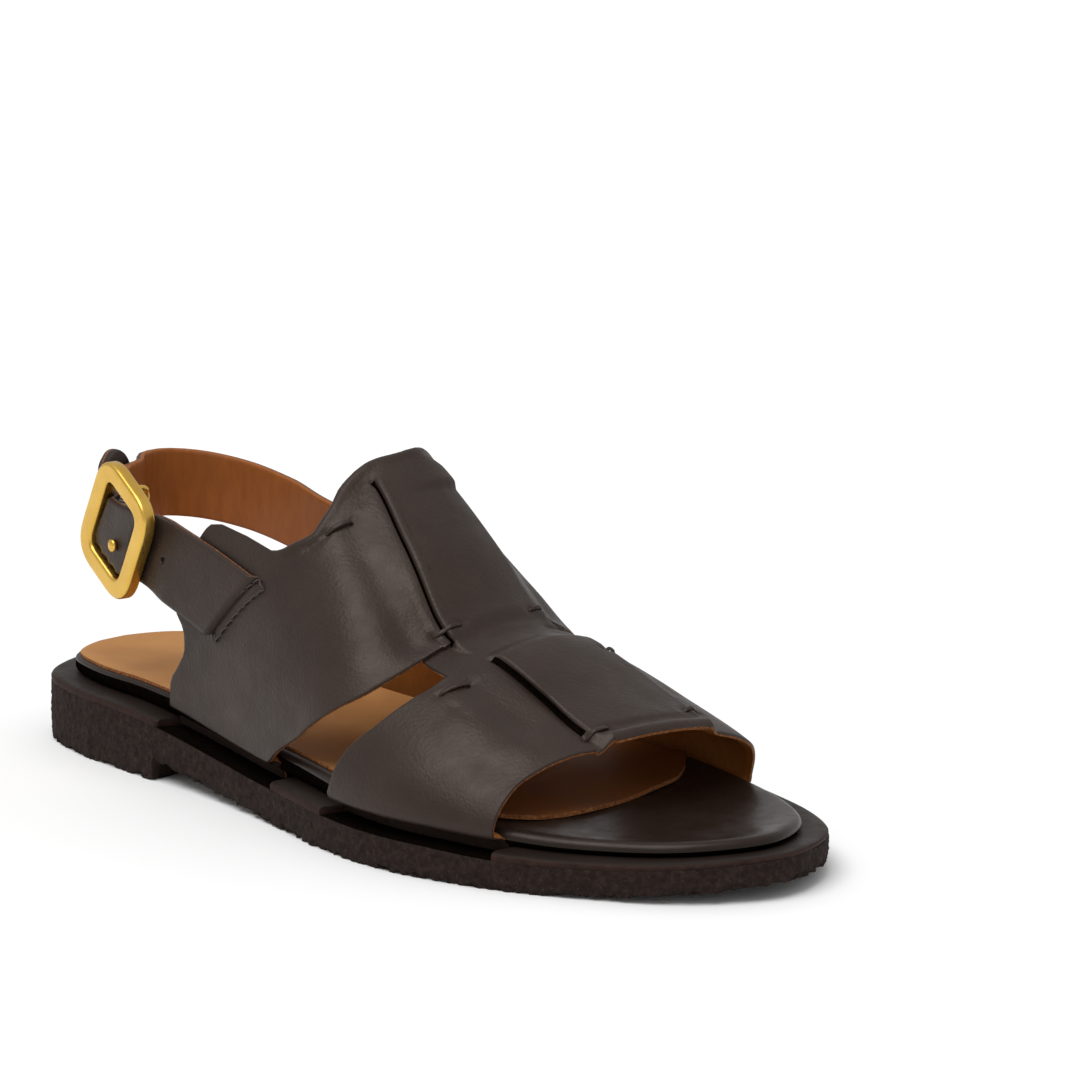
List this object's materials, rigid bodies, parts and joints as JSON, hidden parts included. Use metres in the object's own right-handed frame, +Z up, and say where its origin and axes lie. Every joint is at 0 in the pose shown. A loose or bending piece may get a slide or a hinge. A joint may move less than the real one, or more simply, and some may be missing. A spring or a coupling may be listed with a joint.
{
  "type": "huarache sandal",
  "caption": "Open-toed leather sandal with two wide bands joined by a raised centre panel, a buckled heel strap and a low crepe sole.",
  "frame": {"origin": "on the floor, at the centre of the sole's plan box", "axes": "+X to the toe, +Y to the big-toe side, +Z up"},
  "size_m": [0.252, 0.1013, 0.0875],
  "materials": {
    "upper_leather": "smooth dark brown, soft sheen",
    "lining_leather": "bare tan leather, matt",
    "welt_leather": "dark brown, dull",
    "crepe": "finely pitted dark brown crepe",
    "elastic": "beige woven elastic with a pale stripe",
    "buckle_metal": "satin gold"
  },
  "bodies": {
    "root": {"outsole": "crepe", "welt": "welt_leather", "footbed": "upper_leather", "sock_lining": "lining_leather", "upper": "upper_leather", "buckle_strap": "upper_leather", "heel_strap": "upper_leather", "elastic": "elastic", "buckle_frame": "buckle_metal", "buckle_bar": "buckle_metal"}
  },
  "joints": []
}
